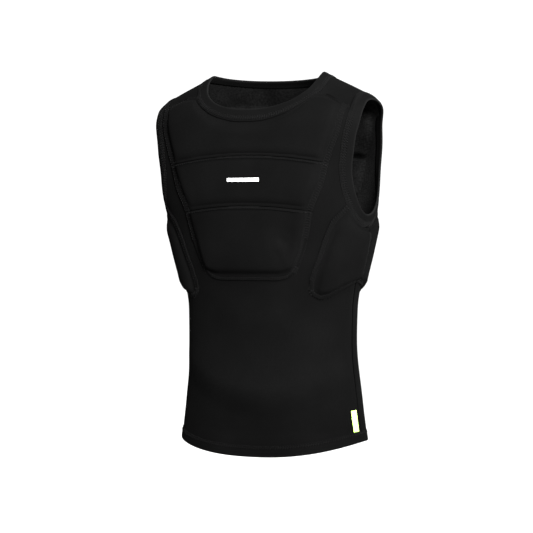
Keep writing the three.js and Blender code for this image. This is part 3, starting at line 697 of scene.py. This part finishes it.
# Each edge's rim width, the reach of its rise and its share of the full height
SIDE_EDGE, FRONT_EDGE, TOP_EDGE = (8.0, 16.0, 0.05), (9.0, 34.0, 0.03), (3.0, 22.0, 0.1)
SEAM_ABOVE, SEAM_BELOW, BOTTOM_EDGE = (0.4, 16.0, 0.45), (0.4, 4.5, 0.5), (9.5, 12.0, 0.04)
BAND_SIDE, SIDE_BOTTOM = (1.0, 18.0, 0.2), (5.0, 11.0, 0.08)
BESIDE_BAND, SIDE_SEAM_DIP, SIDE_SEAM_HALF, PAD_UNDERSIDE = 1.2, 1.6, 0.4, LAY * 0.3
neck_pad_edge = neck_edge(NECK_BAND + BESIDE_BAND)
arm_pad_edge = arm_edge(ARM_BAND + BESIDE_BAND)


def arm_border(facing):
    """The armhole band's edge beside a panel, from the lowest point to the highest."""
    low, high = arm_pad_edge[:, 2].argmin(), arm_pad_edge[:, 2].argmax()
    loop = np.roll(arm_pad_edge, -low, 0)
    top = (high - low) % LOOP
    return loop[:top + 1] if facing < 0 else np.vstack([loop[:1], loop[:top - 1:-1]])


def pad_half_width(z, facing):
    border = arm_border(facing)
    order = np.argsort(border[:, 2])
    limit = np.interp(z, border[order, 2], border[order, 0], left=1e9, right=1e9)
    own = monotone(PAD_EDGE[:, 0] * BODY_LENGTH, PAD_EDGE[:, 1] * HALF_WIDTH, z)
    return np.minimum(own, limit)


def pad_top(x, facing):
    border = loop_quarter(neck_pad_edge, facing)
    order = np.argsort(border[:, 0])
    limit = np.interp(np.abs(x), border[order, 0], border[order, 2], right=1e9)
    own = monotone(SHOULDER_EDGE[:, 0] * HALF_WIDTH, SHOULDER_EDGE[:, 1] * BODY_LENGTH, np.abs(x))
    return np.minimum(own, limit)


def seam_height(seam, u):
    return (seam[0] - seam[1] * u * u) * BODY_LENGTH


def pad_edges(seams, facing):
    shoulder_end = PAD_EDGE[0, 1] * HALF_WIDTH
    first, second = seams
    half = PAD_GAP / 2
    bottom = PAD_BOTTOM[:, 0], PAD_BOTTOM[:, 1] * BODY_LENGTH
    return [
        ("upper", lambda u: seam_height(first, u) + half,
         lambda u: pad_top(u * shoulder_end, facing)),
        ("middle", lambda u: seam_height(second, u) + half, lambda u: seam_height(first, u) - half),
        ("lower", lambda u: monotone(*bottom, np.abs(u)), lambda u: seam_height(second, u) - half),
    ]


def spread_ends(count):
    """Shares from 0 to 1, closer together at both ends."""
    t = np.linspace(-1, 1, count)
    return 0.5 + 0.5 * np.sign(t) * (1 - (1 - np.abs(t)) ** END_POWER)


def edge_rise(distance, edge):
    """The share of the full height at a distance from an edge: a soft foot, a round top."""
    rim, reach, floor = edge
    share = np.clip((distance - rim) / reach, 0, 1)
    rise = 1 - (1 - share) ** RISE_POWER
    foot = smoothstep(share / FOOT)
    return floor + (1 - floor) * rise * foot


def pad_points(low, high, facing):
    us = 2 * spread_ends(PAD_COLUMNS) - 1
    vs = spread_ends(PAD_ROWS)
    z = lerp(low(us)[:, None], high(us)[:, None], vs)
    half = pad_half_width(lerp(low(1.0), high(1.0), vs), facing)
    return across_point(us[:, None] * half, z, facing), us, vs


def pad_shape(points, us, vs, thickness, rims):
    """Heights of a pad's face, with its rims' widths at the sides, bottom and top."""
    across = lengths_along(points, 0)
    up = lengths_along(points, 1)
    to_side = np.minimum(across, across[-1:] - across)
    rises = (edge_rise(to_side, rims[0]) * edge_rise(up, rims[1])
             * edge_rise(up[:, -1:] - up, rims[2]))
    crown = CROWN * (1 - us[:, None] ** 2) * np.sin(math.pi * vs)
    dents = sum(bump_at(points[..., 0], points[..., 2], *dent) for dent in PAD_DENTS)
    return LAY + RIM_THICKNESS + (thickness - RIM_THICKNESS + crown + dents) * rises


def drawn_tight(obj, free):
    """Lets the jersey over a pad settle: its foam presses it out, its seams hold it."""
    rest = np.empty(len(obj.data.vertices) * 3)
    obj.data.vertices.foreach_get("co", rest)
    group = obj.vertex_groups.new(name="sewn")
    group.add([int(i) for i in np.flatnonzero(~free)], 1.0, "REPLACE")
    settle = obj.modifiers.new("settle", "CLOTH")
    settle.settings.vertex_group_mass = group.name
    for setting, value in SETTLING.items():
        setattr(settle.settings, setting, value)
    settle.settings.effector_weights.gravity = 0
    settle.collision_settings.use_collision = False
    settle.point_cache.frame_start, settle.point_cache.frame_end = 1, SETTLE_FRAMES
    for moment in range(1, SETTLE_FRAMES + 1):
        bpy.context.scene.frame_set(moment)
    settled = obj.evaluated_get(bpy.context.evaluated_depsgraph_get()).data
    moved_to = np.empty_like(rest)
    settled.vertices.foreach_get("co", moved_to)
    travel = (moved_to - rest).reshape(-1, 3)
    length = np.linalg.norm(travel, axis=1, keepdims=True)
    travel *= np.minimum(1, MOST_TRAVEL * MM / np.maximum(length, 1e-9))
    obj.modifiers.remove(settle)
    obj.vertex_groups.remove(group)
    obj.data.vertices.foreach_set("co", rest + travel.ravel())
    obj.data.update()
    bpy.context.scene.frame_set(1)


def add_pad(name, points, height, node_name, sewn):
    """A pad's closed shell; sewn holds the widths of its flat rims, left to top."""
    weave = weave_of(points)
    outer = raised(points, height)
    inner = raised(points, np.full(points.shape[:2], PAD_UNDERSIDE))
    obj = shell(name, outer, inner, None, weave)
    cloth_pieces.append(finish_piece(obj, [node_name], "jersey", jersey))
    across, up = weave[..., 0], weave[..., 1]
    reaches = (across, across[-1:] - across, up, up[:, -1:] - up)
    free = np.all([reach > max(SEWN, rim) for reach, rim in zip(reaches, sewn)], 0)
    drawn_tight(obj, np.concatenate([free.ravel(), np.zeros(free.size, bool)]))


pad_grids = {}
for facing, label, seams, thickness in ((-1, "chest", CHEST_SEAMS, CHEST_PAD),
                                        (1, "back", BACK_SEAMS, BACK_PAD)):
    for part, low, high in pad_edges(seams, facing):
        points, us, vs = pad_points(low, high, facing)
        rims = {"upper": (SIDE_EDGE, SEAM_ABOVE, TOP_EDGE),
                "middle": (SIDE_EDGE, SEAM_ABOVE, SEAM_BELOW),
                "lower": (SIDE_EDGE, BOTTOM_EDGE, SEAM_BELOW)}[part]
        height = pad_shape(points, us, vs, thickness, rims)
        sewn = (rims[0][0], rims[0][0], rims[1][0], rims[2][0])
        add_pad(f"{label}_pad_{part}_foam", points, height, f"{label}_pad_{part}", sewn)
        pad_grids[label, part] = points


def read_at(line, share):
    """A polyline on the form read at shares of its steps."""
    at = np.asarray(share) * (len(line) - 1)
    steps = np.arange(len(line))
    return onto_form(np.stack([np.interp(at, steps, line[:, k]) for k in range(3)], -1))


def seam_turn(z):
    """The side seam's place round the body at a height."""
    low, high = (loop[quarter] for loop in (hem_edge(HEM_BAND + 0.5), neck_edge(NECK_BAND + 0.5)))
    return lerp(turn_of(low), turn_of(high), (z - low[2]) / (high[2] - low[2]))


def side_pad_points(facing):
    border = arm_border(facing)
    end = SIDE_PAD_TOP * BODY_LENGTH
    upper = border[:np.argmax(border[:, 2] > end) + 1]
    front = own_point(SIDE_PAD_FRONT[:, 0], SIDE_PAD_FRONT[:, 1] * BODY_LENGTH, facing)
    front = np.vstack([front, upper[-1:]])
    bottom = own_point(SIDE_PAD_BOTTOM[:, 0], SIDE_PAD_BOTTOM[:, 1] * BODY_LENGTH, facing)
    us, vs = spread_ends(SIDE_PAD_STEPS), spread_ends(SIDE_PAD_STEPS)
    z = lerp(bottom[-1, 2], upper[0, 2], vs)
    right = form_point(seam_turn(z), z)
    right[:, 1] += facing * SIDE_SEAM_HALF
    right = onto_form(right)
    top = read_at(upper, 1 - us)
    low = read_at(bottom, us)
    left = read_at(front, vs)
    top[-1], low[-1] = right[-1], right[0]
    u, v = us[:, None, None], vs[None, :, None]
    ends = lerp(lerp(low[0], low[-1], u), lerp(top[0], top[-1], u), v)
    grid = lerp(low[:, None], top[:, None], v) + lerp(left[None], right[None], u) - ends
    return onto_form(grid)


for facing, label in ((-1, "front"), (1, "back")):
    points = side_pad_points(facing)
    across, up = lengths_along(points, 0), lengths_along(points, 1)
    rises = (edge_rise(across, FRONT_EDGE) * edge_rise(up, SIDE_BOTTOM)
             * edge_rise(up[:, -1:] - up, BAND_SIDE))
    dip = SIDE_SEAM_DIP * np.exp(-((across[-1:] - across) / SIDE_SEAM_DIP) ** 2)
    height = LAY + RIM_THICKNESS + np.maximum((SIDE_PAD - RIM_THICKNESS) * rises - dip, 0)
    for side, flip in (("left", False), ("right", True)):
        placed = mirrored(points) if flip else points
        sewn = (FRONT_EDGE[0], 0, SIDE_BOTTOM[0], BAND_SIDE[0])
        add_pad(f"side_pad_{label}_{side}_foam", placed, height, f"side_pad_{label}_{side}", sewn)
    pad_grids["side", label] = points


# Lining, with the backs of the pads pressed through it
# The last number scales the painted shade in those hollows
LINING, LINING_ROWS, LINING_DEPTH, PRESSED, LINING_SHADE = 0.8, 230, 3.1, 8.0, 2
PRESSED_EDGE, PRESSED_SEAM = (3.0, 16.0, 0.0), (2.0, 7.0, 0.0)


def pressed_through(p, facing):
    """How far the pads behind the lining push it in, and how much painted shade it gets in the
    hollows between them.
    """
    x, z = p[..., 0], p[..., 2]
    seams = CHEST_SEAMS if facing < 0 else BACK_SEAMS
    half = pad_half_width(z, facing)
    u = np.clip(np.abs(x) / half, 0, 1)
    top = pad_top(x, facing)
    bottom = monotone(PAD_BOTTOM[:, 0], PAD_BOTTOM[:, 1] * BODY_LENGTH, u)
    within = (edge_rise(half - np.abs(x), PRESSED_EDGE) * edge_rise(top - z, PRESSED_EDGE)
              * edge_rise(z - bottom, PRESSED_EDGE))
    between = np.ones_like(within)
    for seam in seams:
        between = between * edge_rise(np.abs(z - seam_height(seam, u)), PRESSED_SEAM)
    return PRESSED * within * between, LINING_SHADE * within * smoothstep(1 - between)


for facing, label in ((-1, "front"), (1, "back")):
    points = panel_points(facing, shares, LINING_ROWS)
    height = panel_height(points, facing)
    weave = weave_of(points)
    pressed, groove_shade = pressed_through(points, facing)
    inner = height - LINING_DEPTH - pressed
    obj = shell(f"{label}_lining", raised(points, inner + LINING), raised(points, inner),
                outside_arms, weave, groove_shade)
    finish_piece(obj, [], "lining", lining_cloth)
    cut_cloth(points, outside_arms)


# Trim: a thin strip with a low rim, used for the woven label and the plain bar
STRIP_RIM = 0.6


def strip(name, points, lift, thickness, nodes, slot, material):
    weave = weave_of(points)
    share = np.ones(points.shape[:2])
    share[[0, -1]] = share[:, [0, -1]] = STRIP_RIM
    obj = shell(name, raised(points, lift + thickness * share),
                raised(points, np.broadcast_to(lift, share.shape)), None, weave)
    finish_piece(obj, nodes, slot, material)


LABEL_WIDTH, LABEL_TALL, LABEL_ABOVE_HEM, LABEL_TO_SEAM = 16.5, 36.0, 30.0, 18.0
LABEL_LIFT, LABEL_THICKNESS, LABEL_COLUMNS, LABEL_ROWS = 0.5, 0.6, 13, 25
label_low = hem_height(1) + LABEL_ABOVE_HEM - HEM_RISE / 2
z = label_low + np.linspace(0, 1, LABEL_ROWS) * LABEL_TALL
centre = side_point(middle_at(z) - LABEL_TO_SEAM, z)
along = np.cross(outward(centre), (0, 0, 1.0))
along /= np.linalg.norm(along, axis=1, keepdims=True)
across = np.linspace(-0.5, 0.5, LABEL_COLUMNS)[:, None, None]
tag = onto_form(centre + across * along * LABEL_WIDTH)
strip("hem_label_woven", tag, LABEL_LIFT, LABEL_THICKNESS, ["hem_label"], "label", label_weave)

# Stitches: dashes in rows, and a covering thread that runs from row to row
STITCH, THREAD_RADIUS, ROW_APART = 4.3, 0.5, 4.6
# Dark discs at needle holes and dark ribbons at seams are painted shade: disc size, lift, sides,
# ribbon width and step
HOLE_RADIUS, HOLE_HEIGHT, HOLE_SIDES, GROOVE, GROOVE_STEP = 1.15, 0.12, 6, 2.0, 2.0
# How far above the form a ray starts down to the cloth, and how far it reaches
ABOVE, REACH = 30, 60 * MM
depsgraph = bpy.context.evaluated_depsgraph_get()
trees = [BVHTree.FromObject(obj, depsgraph) for obj in cloth_pieces]


def on_cloth(points):
    """Points moved along the form's outward direction onto the outermost cloth there."""
    normals = outward(points)
    landed = np.empty_like(points)
    for k, (p, n) in enumerate(zip(points, normals)):
        start, down = Vector((p + n * ABOVE) * MM), Vector(-n)
        hits = [tree.ray_cast(start, down, REACH) for tree in trees]
        near = min((hit[3] for hit in hits if hit[0] is not None), default=ABOVE * MM)
        landed[k] = p + n * (ABOVE - near / MM)
    return landed, normals


def evenly(line, step, closed):
    """A line resampled at even steps, with its own along and sideways directions."""
    if closed:
        line = np.vstack([line, line[:1]])
    length = np.concatenate([[0], np.cumsum(np.linalg.norm(np.diff(line, axis=0), axis=1))])
    count = max(2, int(round(length[-1] / step)))
    at = np.arange(count + (0 if closed else 1)) / count * length[-1]
    points = onto_form(np.stack([np.interp(at, length, line[:, k]) for k in range(3)], -1))
    if closed:
        along = np.roll(points, -1, 0) - np.roll(points, 1, 0)
    else:
        along = np.gradient(points, axis=0)
    along /= np.linalg.norm(along, axis=1, keepdims=True)
    side = np.cross(outward(points), along)
    return points, along, side / np.linalg.norm(side, axis=1, keepdims=True)


class Thread:
    """Gathers the tubes and dashes of one piece."""

    def __init__(self):
        self.verts, self.faces, self.dark, self.count = [], [], [], 0

    def add(self, verts, faces):
        self.verts.append(verts)
        self.faces += [[i + self.count for i in face] for face in faces]
        self.count += len(verts)

    def dashes(self, points, normals, along, side, radius, length):
        """Short plump stitches, each between two holes."""
        for p, n, a, b in zip(points, normals, along, side):
            rings = []
            for t in (-0.3, 0.3):
                middle = p + a * t * length + n * radius * 0.5
                rings += [middle + b * radius, middle + n * radius, middle - b * radius,
                          middle - n * radius]
            tips = [p + a * t * length - n * radius * 0.6 for t in (-0.5, 0.5)]
            faces = [(k, (k + 1) % 4, 4 + (k + 1) % 4, 4 + k) for k in range(4)]
            faces += [(8, (k + 1) % 4, k) for k in range(4)]
            faces += [(9, 4 + k, 4 + (k + 1) % 4) for k in range(4)]
            self.add(np.array(rings + tips), faces)

    def holes(self, points, normals, along, side, radius):
        """Dark discs at the needle holes: painted shade where the needle pulls the cloth in."""
        for p, n, a, b in zip(points, normals, along, side):
            rim = [p + radius * (a * math.cos(t) + b * math.sin(t)) + n * HOLE_HEIGHT
                   for t in np.arange(HOLE_SIDES) * 2 * math.pi / HOLE_SIDES]
            self.dark += range(len(self.faces), len(self.faces) + HOLE_SIDES)
            self.add(np.array(rim + [p + n * (HOLE_HEIGHT + 0.05)]),
                     [(k, (k + 1) % HOLE_SIDES, HOLE_SIDES) for k in range(HOLE_SIDES)])

    def flatlock(self, line, closed=False, rows=3, apart=ROW_APART, pitch=STITCH, slant=0.5):
        """Rows of dashes and needle holes, joined by covering threads."""
        points, along, side = evenly(line, pitch, closed)
        offsets = (np.arange(rows) - (rows - 1) / 2) * apart
        for offset in offsets:
            placed, normals = on_cloth(onto_form(points + side * offset))
            self.dashes(placed, normals, along, side, THREAD_RADIUS, pitch * 0.7)
            between = onto_form(points + side * offset + along * pitch / 2)
            placed, normals = on_cloth(between if closed else between[:-1])
            self.holes(placed, normals, along, side, HOLE_RADIUS)
        for low, high in zip(offsets[:-1], offsets[1:]):
            starts, _ = on_cloth(onto_form(points + side * low + along * pitch * (0.5 - slant)))
            ends, normals = on_cloth(onto_form(points + side * high + along * pitch * 0.5))
            self.rungs(starts, ends, normals, along, THREAD_RADIUS * 0.8)

    def groove_shade(self, line, closed=False, width=GROOVE):
        """A dark ribbon laid where two pieces of cloth meet: painted shade in the seam's hollow."""
        points, _, side = evenly(line, GROOVE_STEP, closed)
        left, normals = on_cloth(onto_form(points - side * width / 2))
        right, _ = on_cloth(onto_form(points + side * width / 2))
        rails = [left, (left + right) / 2 + normals * HOLE_HEIGHT, right]
        count = len(points)
        steps = range(count if closed else count - 1)
        self.dark += range(len(self.faces), len(self.faces) + 2 * len(steps))
        self.add(np.stack(rails, 1).reshape(-1, 3),
                 [(i * 3 + k, i * 3 + k + 1, (i + 1) % count * 3 + k + 1, (i + 1) % count * 3 + k)
                  for i in steps for k in range(2)])

    def rungs(self, starts, ends, normals, along, radius):
        """Covering threads that cross from row to row, bowed a little."""
        for p, q, n, a in zip(starts, ends, normals, along):
            faces, verts = [], []
            for t, lift in ((0, 0.2), (0.25, 0.9), (0.75, 0.9), (1, 0.2)):
                middle = p + (q - p) * t + n * radius * lift
                verts += [middle + a * radius, middle + n * radius, middle - a * radius,
                          middle - n * radius]
            for r in range(3):
                faces += [(r * 4 + k, r * 4 + 4 + k, r * 4 + 4 + (k + 1) % 4, r * 4 + (k + 1) % 4)
                          for k in range(4)]
            faces += [(0, 1, 2, 3), (15, 14, 13, 12)]
            self.add(np.array(verts), faces)

    def build(self, name):
        obj = make_mesh(name, np.concatenate(self.verts), self.faces)
        material_index = np.zeros(len(self.faces), int)
        # Faces of painted shade, at needle holes and seams, take the second material
        material_index[self.dark] = 1
        finish_piece(obj, [], "thread", thread, painted_stitch_shade)
        obj.data.polygons.foreach_set("material_index", material_index)


def pad_line(points, distance, axis):
    """A line over a pad's grid at a distance from its first edge, or its last if negative."""
    grid = points if axis else points.transpose(1, 0, 2)
    along = lengths_along(grid, 1)
    at = np.broadcast_to(distance if distance >= 0 else along[:, -1] + distance, len(along))
    return onto_form(np.array([
        [np.interp(at[c], along[c], grid[c, :, k]) for k in range(3)] for c in range(len(along))]))


# The plain bar on its settled pad
PRINT_WIDTH, PRINT_TALL, PRINT_LIFT, PRINT_THICKNESS = 58.0, 5.5, 0.35, 0.4
PRINT_COLUMNS, PRINT_ROWS = 41, 7
u, v = np.linspace(-0.5, 0.5, PRINT_COLUMNS)[:, None], np.linspace(-0.5, 0.5, PRINT_ROWS)
bar = across_point(u * PRINT_WIDTH + 0 * v, PRINT_HEIGHT * BODY_LENGTH + v * PRINT_TALL, -1)
landed = on_cloth(bar.reshape(-1, 3))[0].reshape(bar.shape)
bar_height = ((landed - bar) * outward(bar)).sum(-1) + PRINT_LIFT
strip("chest_bar", bar, bar_height, PRINT_THICKNESS, ["chest_print"], "print", print_film)

# Stitch lines along the bands and the pads, and ribbons of painted shade along the side seams and
# other seams
BESIDE_GROOVE, PAST_BAND, SEAM_STEPS = 0.6, 1, 90
neck_thread = Thread()
neck_thread.flatlock(neck_edge(NECK_BAND - 3), True, rows=2, apart=6.5)
neck_thread.groove_shade(neck_edge(NECK_BAND + BESIDE_GROOVE), True, width=1.2)
neck_thread.build("neck_stitches")
for name, flip in (("armhole_stitches_left", False), ("armhole_stitches_right", True)):
    arm_thread = Thread()
    sewn_on, meeting = arm_edge(ARM_BAND - 4.5), arm_edge(ARM_BAND + BESIDE_GROOVE)
    arm_thread.flatlock(mirrored(sewn_on) if flip else sewn_on, True, rows=3)
    arm_thread.groove_shade(mirrored(meeting) if flip else meeting, True, width=1.0)
    arm_thread.build(name)
hem_thread = Thread()
hem_thread.flatlock(hem_edge(HEM_BAND), True, rows=2)
hem_thread.build("hem_stitches")


def beyond_neck(line, facing):
    """The stretches of an upper pad's top edge that lie on the shoulders."""
    x = line[:, 0]
    outer = loop_quarter(neck_pad_edge, facing)[:, 0].max() + 4
    return line[x < -outer], line[x > outer]


for facing, label in ((-1, "chest"), (1, "back")):
    pad_thread = Thread()
    for distance in (5.5, -5.5):
        edge = np.vstack([pad_line(pad_grids[label, part], distance, ACROSS)
                          for part in ("lower", "middle", "upper")])
        pad_thread.flatlock(edge, rows=2, apart=9.0, slant=0.1)
    pad_thread.flatlock(pad_line(pad_grids[label, "lower"], 3.0, UP), rows=2, apart=4.0)
    for part in ("middle", "lower"):
        seam = pad_line(pad_grids[label, part], -1.0, UP)[4:-4]
        pad_thread.flatlock(seam, rows=2, apart=4.0)
    for line in beyond_neck(pad_line(pad_grids[label, "upper"], -1.5, UP), facing):
        pad_thread.flatlock(line, rows=2, apart=4.5)
        pad_thread.groove_shade(line)
    pad_thread.build(f"{label}_pad_stitches")
seam_low = hem_edge(HEM_BAND + PAST_BAND)[quarter, 2]
seam_high = arm_edge(ARM_BAND + PAST_BAND)[:, 2].min()
for name, flip in (("side_pad_stitches_left", False), ("side_pad_stitches_right", True)):
    side_thread = Thread()
    for label in ("front", "back"):
        points = pad_grids["side", label]
        points = mirrored(points) if flip else points
        line = np.vstack([pad_line(points, 5.0, ACROSS)[::-1], pad_line(points, 2.5, UP)[4:]])
        side_thread.flatlock(line, rows=2, apart=7.0)
    z = np.linspace(seam_low, seam_high, SEAM_STEPS)
    seam = form_point(seam_turn(z), z)
    side_thread.groove_shade(mirrored(seam) if flip else seam)
    side_thread.build(name)

# Floor, light and camera
PIVOT = Vector((0, 0, -0.262))
AZIMUTH, DISTANCE, LENS, AIM_LEFT, AIM_DOWN = math.radians(24), 3.0, 118.1, 0.0034, 0.0669
RIGHT = Vector((math.cos(AZIMUTH), math.sin(AZIMUTH), 0))
AWAY = Vector((-math.sin(AZIMUTH), math.cos(AZIMUTH), 0))
FLOOR_REACH, FLOOR_HEIGHT = 40.0, -0.95
WORLD_STRENGTH = 1.15
# Name, place to the camera's right, away from it and up, energy, size, spread and target
LIGHTS = [
    ("key", (0.8, -2.5, 0.95), 36, 0.8, 38, (0.0, 0, -0.08)),
    ("side", (2.5, -1.0, 0.35), 11, 0.8, 50, (0.1, 0, -0.3)),
    ("high", (0.5, -1.5, 1.9), 7, 0.5, 36, (0.0, -0.1, -0.55)),
]


def stage_floor():
    """A plain pale floor below the vest."""
    across = np.linspace(-FLOOR_REACH, FLOOR_REACH, 3)
    verts = [(x, y, FLOOR_HEIGHT) for x in across for y in across]
    obj = make_mesh("floor", np.array(verts) / MM, grid_faces(3, 3))
    paint = bpy.data.materials.new("floor_paint")
    paint.use_nodes = True
    shader = paint.node_tree.nodes["Principled BSDF"]
    shader.inputs["Base Color"].default_value = (0.93, 0.93, 0.93, 1)
    shader.inputs["Roughness"].default_value = 0.9
    obj.data.materials.append(paint)


def aimed(name, data, where, target):
    """Puts a light or a camera at a place, turned towards its target."""
    obj = bpy.data.objects.new(name, data)
    obj.location = where
    obj.rotation_mode = "QUATERNION"
    obj.rotation_quaternion = (target - where).to_track_quat("-Z", "Y")
    bpy.context.scene.collection.objects.link(obj)
    return obj


stage_floor()
for name, (to_right, away, up), energy, size, spread, target in LIGHTS:
    lamp = bpy.data.lights.new(name, "AREA")
    lamp.energy, lamp.size, lamp.spread = energy, size, math.radians(spread)
    aimed(name, lamp, PIVOT + RIGHT * to_right + AWAY * away + Vector((0, 0, up)), Vector(target))

world = bpy.data.worlds.new("studio")
world.use_nodes = True
background = world.node_tree.nodes["Background"]
background.inputs["Color"].default_value = (1, 1, 1, 1)
background.inputs["Strength"].default_value = WORLD_STRENGTH
bpy.context.scene.world = world
bpy.context.scene.view_settings.view_transform = "Standard"

lens = bpy.data.cameras.new("camera")
lens.sensor_width = 36
lens.lens = LENS
aim = PIVOT - RIGHT * AIM_LEFT - Vector((0, 0, AIM_DOWN))
bpy.context.scene.camera = aimed("camera", lens, PIVOT - AWAY * DISTANCE, aim)
